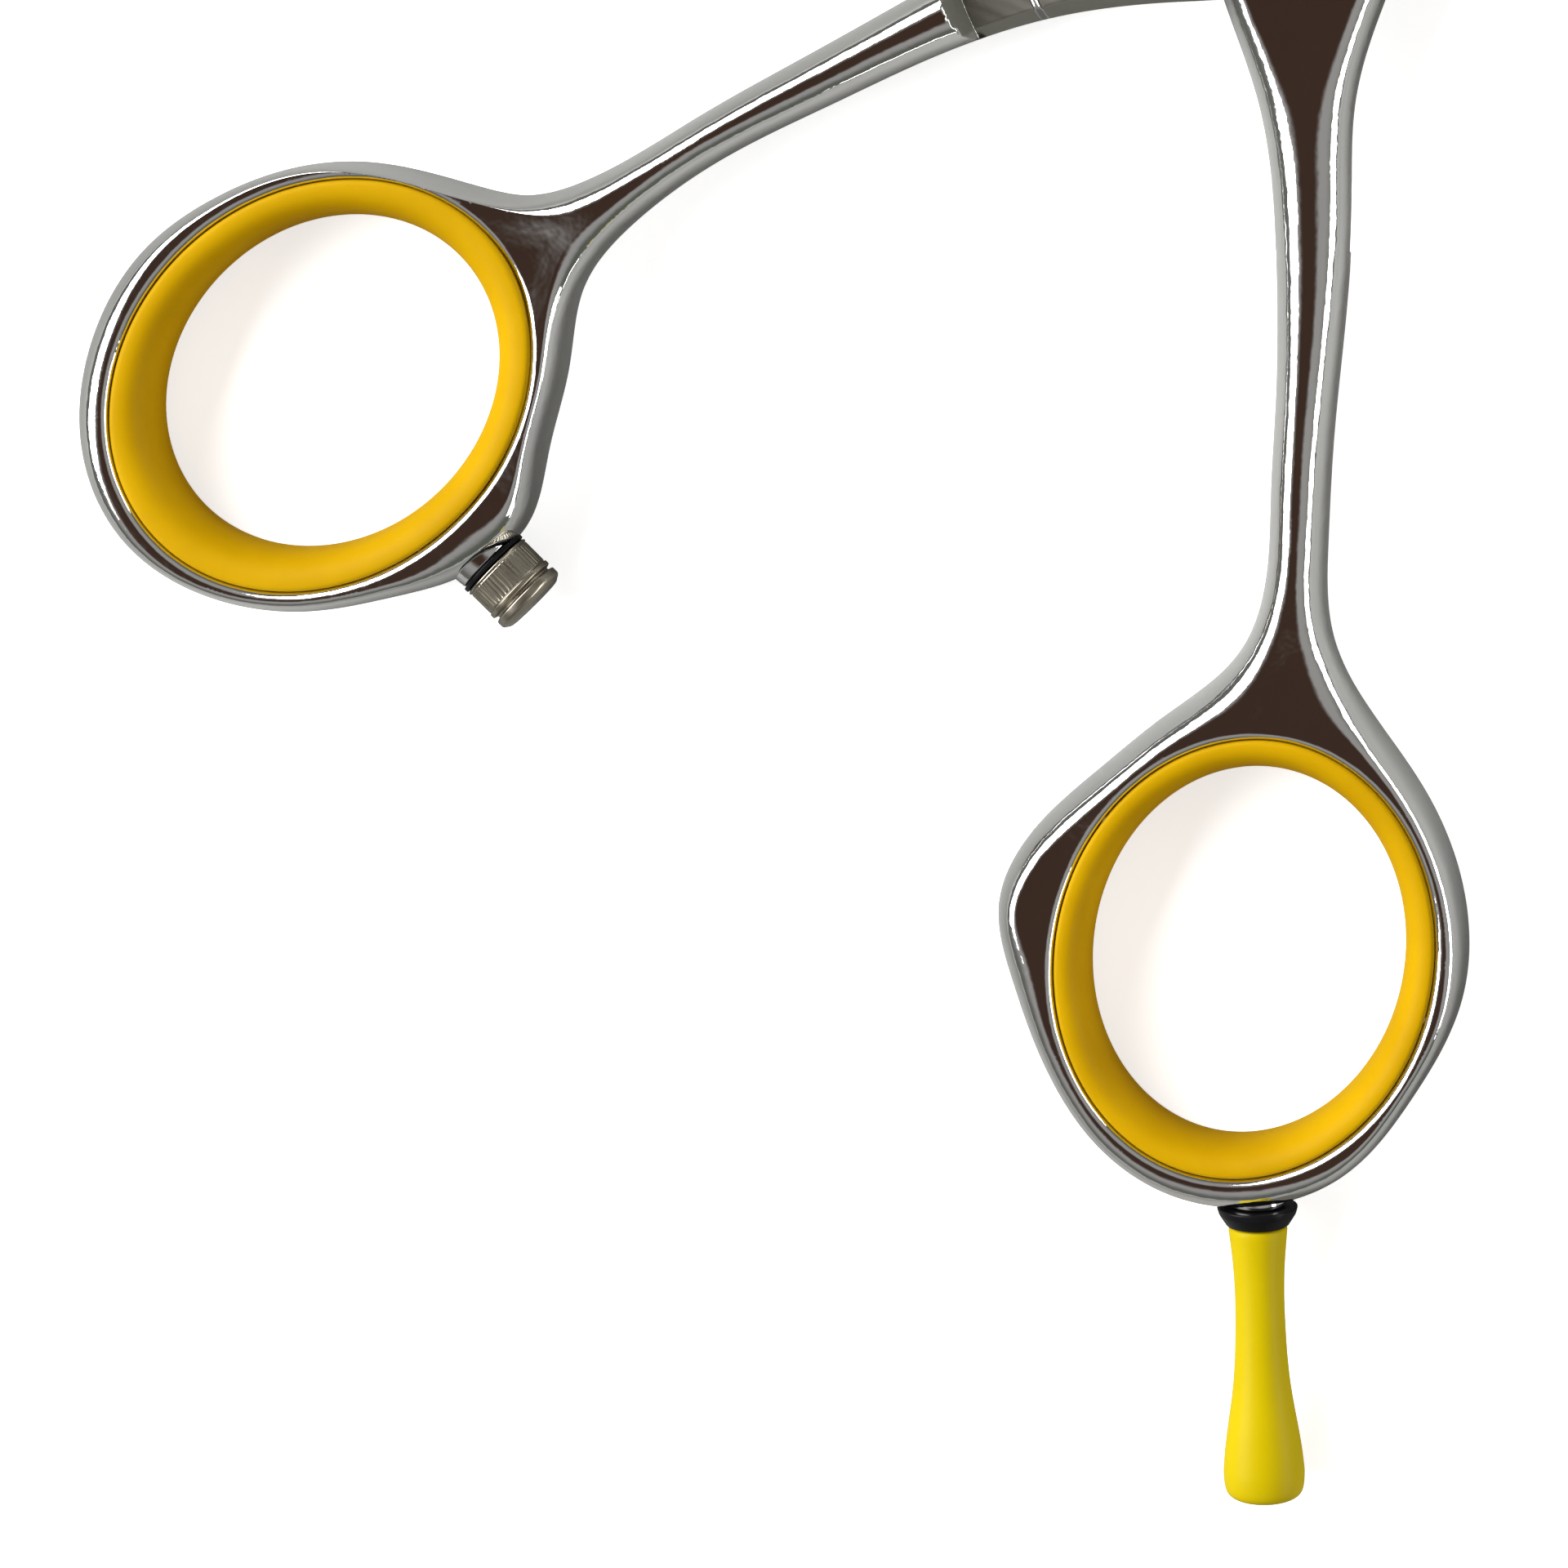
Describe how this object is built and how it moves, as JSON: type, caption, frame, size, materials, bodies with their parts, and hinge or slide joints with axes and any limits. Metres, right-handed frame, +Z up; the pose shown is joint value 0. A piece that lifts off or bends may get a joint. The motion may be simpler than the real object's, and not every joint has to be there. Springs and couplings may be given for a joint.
{
  "type": "hairdressing shears",
  "caption": "Slim straight-handled cutting shears with oval finger rings, soft ring inserts, a screw-in finger rest, a threaded stopper and a dial-adjusted pivot.",
  "frame": {"origin": "on the pivot axis, at the centre of the flat underside of the pivot screw's head, which lies in one plane with the undersides of the two finger rings", "axes": "+Z up along the pivot axis towards the tension dial, +Y along the finger blade towards its tip, +X towards the side on which the finger ring lies"},
  "size_m": [0.0946, 0.1667, 0.0085],
  "materials": {
    "polished_steel": "mirror polished, satin on the ground inner faces",
    "insert_rubber": "soft satin",
    "rest_plastic": "moulded, semi-gloss",
    "black_rubber": "satin",
    "stopper_metal": "satin nickel",
    "pivot_steel": "fine turned",
    "bearing_steel": "ground and hardened",
    "bush_brass": "turned",
    "washer_nylon": "matte"
  },
  "bodies": {
    "finger_side": {"finger_half": "polished_steel", "finger_ring_insert": "insert_rubber", "pivot_screw": "pivot_steel", "thrust_washer": "washer_nylon", "upper_ball_race": "bearing_steel", "click_plate": "pivot_steel", "dial_retaining_screw": "pivot_steel"},
    "thumb_side": {"thumb_half": "polished_steel", "thumb_ring_insert": "insert_rubber", "pivot_bush": "bush_brass", "lower_ball_race": "bearing_steel"},
    "ball_bearing": {"ball_cage": "bush_brass", "bearing_balls": "bearing_steel"},
    "click_spring": {"click_spring": "bearing_steel"},
    "tension_dial": {"tension_dial": "pivot_steel"},
    "rest_collar": {"finger_rest_collar": "black_rubber"},
    "finger_rest": {"finger_rest": "rest_plastic", "finger_rest_stud": "pivot_steel"},
    "stopper_washer": {"stopper_washer": "black_rubber"},
    "stopper": {"stopper_screw": "stopper_metal"}
  },
  "joints": [
    {"name": "blade_pivot", "type": "hinge", "parent": "finger_side", "child": "thumb_side", "pos_m": [0, 0, 0.0032], "axis": [0, 0, -1], "range_deg": [-29.2, 60]},
    {"name": "cage_turn", "type": "hinge", "parent": "finger_side", "child": "ball_bearing", "pos_m": [0, 0, 0.0032], "axis": [0, 0, -1], "range_deg": [-14.6, 30]},
    {"name": "spring_travel", "type": "slide", "parent": "finger_side", "child": "click_spring", "axis": [0, 0, -1], "range_m": [0, 0.000333]},
    {"name": "dial_turn", "type": "hinge", "parent": "click_spring", "child": "tension_dial", "pos_m": [0, 0, 0.0075], "axis": [0, 0, -1], "range_deg": [0, 240]},
    {"name": "collar_travel", "type": "slide", "parent": "finger_side", "child": "rest_collar", "axis": [0.4019, -0.9157, 0], "range_m": [0, 0.00157]},
    {"name": "rest_unscrew", "type": "hinge", "parent": "rest_collar", "child": "finger_rest", "pos_m": [0.0265, -0.07465, 0.0032], "axis": [0.4019, -0.9157, 0], "range_deg": [0, 1260]},
    {"name": "washer_travel", "type": "slide", "parent": "thumb_side", "child": "stopper_washer", "axis": [0.9239, -0.3827, 0], "range_m": [0, 0.000449]},
    {"name": "stopper_unscrew", "type": "hinge", "parent": "stopper_washer", "child": "stopper", "pos_m": [-0.03049, -0.05682, 0.0032], "axis": [0.9239, -0.3827, 0], "range_deg": [0, 360]}
  ],
  "couplings": [
    {"joint": "cage_turn", "follows": "blade_pivot", "ratio": 0.5},
    {"joint": "dial_turn", "follows": "spring_travel", "rad_per_m": 12566},
    {"joint": "rest_unscrew", "follows": "collar_travel", "rad_per_m": 13963},
    {"joint": "stopper_unscrew", "follows": "washer_travel", "rad_per_m": 13963}
  ]
}
